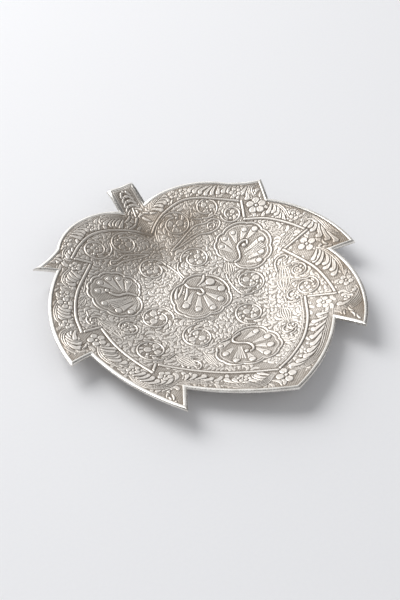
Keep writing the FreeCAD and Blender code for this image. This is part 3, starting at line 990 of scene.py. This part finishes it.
def connect_metal(tree, shader, colour, roughness, grain, strength, depth):
    """Give a metal its colour, its roughness, and bumps from its grain."""
    tree.links.new(colour, shader.inputs["Base Color"])
    shader.inputs["Metallic"].default_value = 1.0
    tree.links.new(roughness, shader.inputs["Roughness"])
    bumps = node(tree, "ShaderNodeBump", {"Height": grain, "Strength": strength, "Distance": depth})
    tree.links.new(bumps.outputs["Normal"], shader.inputs["Normal"])


def stored(tree, name):
    """A number that the mesh stores at its vertices."""
    return node(tree, "ShaderNodeAttribute", attribute_name=name).outputs["Fac"]


HATCH_PITCH = 1.45  # between the chased lines on the ground
# Colours from the hollows up to the relief: the two darker ones are patina and painted shade in
# crevices and chased lines.
PATINA_AND_SHADE_DARK = (0.16, 0.13, 0.105, 1.0)
PATINA_AND_SHADE_MIDDLE = (0.41, 0.375, 0.335, 1.0)
METAL_LIGHT = (0.72, 0.68, 0.63, 1.0)
TARNISH_AND_SHADE_BROWN = (0.27, 0.225, 0.18, 1.0)
STAIN_BELOW = (0.36, 0.32, 0.28, 1.0)
# Patches of darker brown: the one at the stem's notch and the broad one on the right wall are painted
# shade, the two at the tips are tarnish. Middle, how much wider than high, radius of the core, where it
# ends, strength.
TARNISH_AND_SHADE_PATCHES = [
    # Painted shade in the dark channel below the stem.
    ((4.0, 77.0, 0.0), 1.9, 14.0, 40.0, 0.85),
    ((114.0, -10.0, 0.0), 1.0, 6.0, 16.0, 0.5),
    ((80.0, -85.0, 0.0), 1.0, 5.0, 18.0, 0.55),
    # Painted shade that dims the light and the highlights on the right wall.
    ((92.0, -28.0, 0.0), 0.75, 20.0, 64.0, 0.43),
]


def darkened_patch(tree, where, middle, widening, core, reach, amount):
    """Darker brown at its full amount in an oval core, which fades out to its reach."""
    offset = vector(tree, "SUBTRACT", where, [MM * value for value in middle])
    offset = vector(tree, "MULTIPLY", offset, (1.0 / widening, 1.0, 0.0))
    away = vector(tree, "LENGTH", offset, out="Value")
    return ranged(tree, away, core * MM, reach * MM, amount, 0.0)


def tarnished_and_shaded(tree, where, stain, colour):
    """The colour with darker brown over it: tarnish low beside the strip, and the patches, some of them
    tarnish and some painted shade.
    """
    low = ranged(tree, stored(tree, "raised"), 0.1, 0.5, 1.0, 0.32)
    amount = maths(tree, "MULTIPLY", stored(tree, "rim"), low)
    for patch in TARNISH_AND_SHADE_PATCHES:
        amount = maths(tree, "ADD", amount, darkened_patch(tree, where, *patch))
    patchy = ranged(tree, stain, 0.3, 0.65, 0.35, 1.0)
    return mixed(tree, maths(tree, "MULTIPLY", amount, patchy), colour, TARNISH_AND_SHADE_BROWN)


def embossed_metal():
    """White metal: light on the relief, and darker in the hollows and the chased lines, where the
    colour holds patina and painted shade.
    """
    material, tree, shader = new_material("embossed_white_metal")
    where = node(tree, "ShaderNodeTexCoord").outputs["Object"]
    bare = stored(tree, "bare")
    fine = noise(tree, where, 1500.0, 2.0)
    broad = noise(tree, where, 22.0, 4.0)
    stain = noise(tree, where, 60.0, 5.0)
    lines = maths(tree, "MULTIPLY", hatching(tree, where, 35.0, HATCH_PITCH), bare)
    crossing = maths(tree, "MULTIPLY", hatching(tree, where, -55.0, HATCH_PITCH), bare)
    # How low a place lies, with the chased lines cut in: the lower, the darker the colour, as patina
    # and as painted shade.
    depth = maths(tree, "ADD", stored(tree, "crevice"), ranged(tree, fine, 0.3, 0.7, -0.06, 0.06))
    depth = maths(tree, "ADD", depth, ranged(tree, broad, 0.3, 0.7, -0.03, 0.03))
    depth = maths(tree, "SUBTRACT", depth, maths(tree, "MULTIPLY", lines, 0.1))
    depth = maths(tree, "SUBTRACT", depth, maths(tree, "MULTIPLY", crossing, 0.07))
    bright = ranged(tree, depth, -0.27, 0.06)
    colour = mixed(tree, ranged(tree, bright, 0.0, 0.5), PATINA_AND_SHADE_DARK, PATINA_AND_SHADE_MIDDLE)
    colour = mixed(tree, ranged(tree, bright, 0.5, 1.0), colour, METAL_LIGHT)
    colour = tarnished_and_shaded(tree, where, stain, colour)
    stained = maths(tree, "MULTIPLY", stored(tree, "under"), ranged(tree, stain, 0.35, 0.65, 0.3, 0.75))
    colour = mixed(tree, stained, colour, STAIN_BELOW)
    roughness = ranged(tree, bright, 0.0, 1.0, 0.62, 0.45)
    grain = maths(tree, "ADD", fine, maths(tree, "ADD", lines, crossing))
    connect_metal(tree, shader, colour, roughness, grain, 0.5, 0.12 * MM)
    return material


STRIP_DULL = (0.68, 0.65, 0.605, 1.0)
STRIP_BRIGHT = (0.86, 0.835, 0.79, 1.0)
STRIP_SPECKS = (0.42, 0.375, 0.33, 1.0)


def strip_metal():
    """The same metal, plain and polished by wear, with dull patches and fine dark specks."""
    material, tree, shader = new_material("polished_white_metal")
    where = node(tree, "ShaderNodeTexCoord").outputs["Object"]
    broad = noise(tree, where, 90.0, 4.0)
    fine = noise(tree, where, 900.0, 3.0)
    colour = mixed(tree, ranged(tree, broad, 0.35, 0.65), STRIP_DULL, STRIP_BRIGHT)
    colour = mixed(tree, ranged(tree, fine, 0.6, 0.75, 0.0, 0.5), colour, STRIP_SPECKS)
    roughness = ranged(tree, fine, 0.3, 0.7, 0.2, 0.38)
    connect_metal(tree, shader, colour, roughness, fine, 0.12, 0.2 * MM)
    return material


def backdrop_paper():
    """The plain pale floor."""
    material, tree, shader = new_material("pale_paper")
    where = node(tree, "ShaderNodeTexCoord").outputs["Object"]
    grain = noise(tree, where, 400.0, 4.0)
    colour = mixed(tree, grain, (0.83, 0.83, 0.845, 1.0), (0.86, 0.86, 0.87, 1.0))
    tree.links.new(colour, shader.inputs["Base Color"])
    shader.inputs["Roughness"].default_value = 0.8
    shader.inputs["Specular IOR Level"].default_value = 0.2
    return material


# ---- the set

TARGET = Vector((-13.65, -16.86, 19.9)) * MM
CAMERA = Vector((-318.9, -512.1, 598.6)) * MM
LENS = 66.0
SENSOR = 36.0
FLOOR_REACH = 3.0  # metres from the middle to each side
# Directions as the camera sees them: to its right, away from it, and up.
KEY = (-1.12, 0.82, 1.54)
KEY_SIZE = 1.5
KEY_POWER = 26.5
SKY_LEVEL = 0.1
# The sky's glows: direction, the cosines between which each rises, and its strength.
SKY_ZONES = [((-0.45, 0.8, 0.2), 0.5, 0.87, 1.25), ((0.6, -0.7, 0.15), 0.0, 0.9, 0.82),
             ((-0.9, 0.2, 0.2), 0.4, 0.9, 0.2)]


def add_floor():
    mesh = bpy.data.meshes.new("floor")
    corners = [(-1, -1, 0), (1, -1, 0), (1, 1, 0), (-1, 1, 0)]
    mesh.from_pydata([FLOOR_REACH * Vector(corner) for corner in corners], [], [(0, 1, 2, 3)])
    mesh.materials.append(backdrop_paper())
    new_object("floor", mesh)


def add_facing(name, data, place):
    """An object that looks, or shines, at the plate."""
    made = new_object(name, data)
    made.location = place
    made.rotation_mode = "QUATERNION"
    made.rotation_quaternion = (TARGET - place).to_track_quat("-Z", "Y")
    return made


def add_camera():
    data = bpy.data.cameras.new("camera")
    data.lens = LENS
    data.sensor_width = SENSOR
    data.clip_start = 0.01
    data.clip_end = 20.0
    bpy.context.scene.camera = add_facing("camera", data, CAMERA)


def add_sky(zones):
    """A soft studio all round: a base level, and a glow in each zone's direction."""
    world = bpy.data.worlds.new("world")
    world.use_nodes = True
    tree = world.node_tree
    where = node(tree, "ShaderNodeTexCoord").outputs["Generated"]
    level = SKY_LEVEL
    for direction, first, last, strength in zones:
        facing = vector(tree, "DOT_PRODUCT", where, direction.normalized(), "Value")
        level = maths(tree, "ADD", level, ranged(tree, facing, first, last, 0.0, strength))
    sky = tree.nodes["Background"]
    sky.inputs["Color"].default_value = (0.97, 0.98, 1.0, 1.0)
    tree.links.new(level, sky.inputs["Strength"])
    bpy.context.scene.world = world


def add_lights():
    """One large soft key from behind the left side, as the camera sees it, and a pale sky."""
    across = Vector((0, 0, 1)).cross(CAMERA - TARGET).normalized()
    away = Vector((0, 0, 1)).cross(across).normalized()

    def seen(right, beyond, up):
        return across * right + away * beyond + Vector((0, 0, up))

    data = bpy.data.lights.new("key", "AREA")
    data.shape = "DISK"
    data.size = KEY_SIZE
    data.energy = KEY_POWER
    add_facing("key", data, TARGET + seen(*KEY))
    add_sky([(seen(*direction), *rest) for direction, *rest in SKY_ZONES])


bpy.context.scene.view_settings.view_transform = "Standard"
add_camera()
add_floor()
add_lights()
dish_finish = embossed_metal()
strip_finish = strip_metal()
make_dish(dish_finish)
for strip in STRIPS:
    make_strip(*strip, strip_finish)
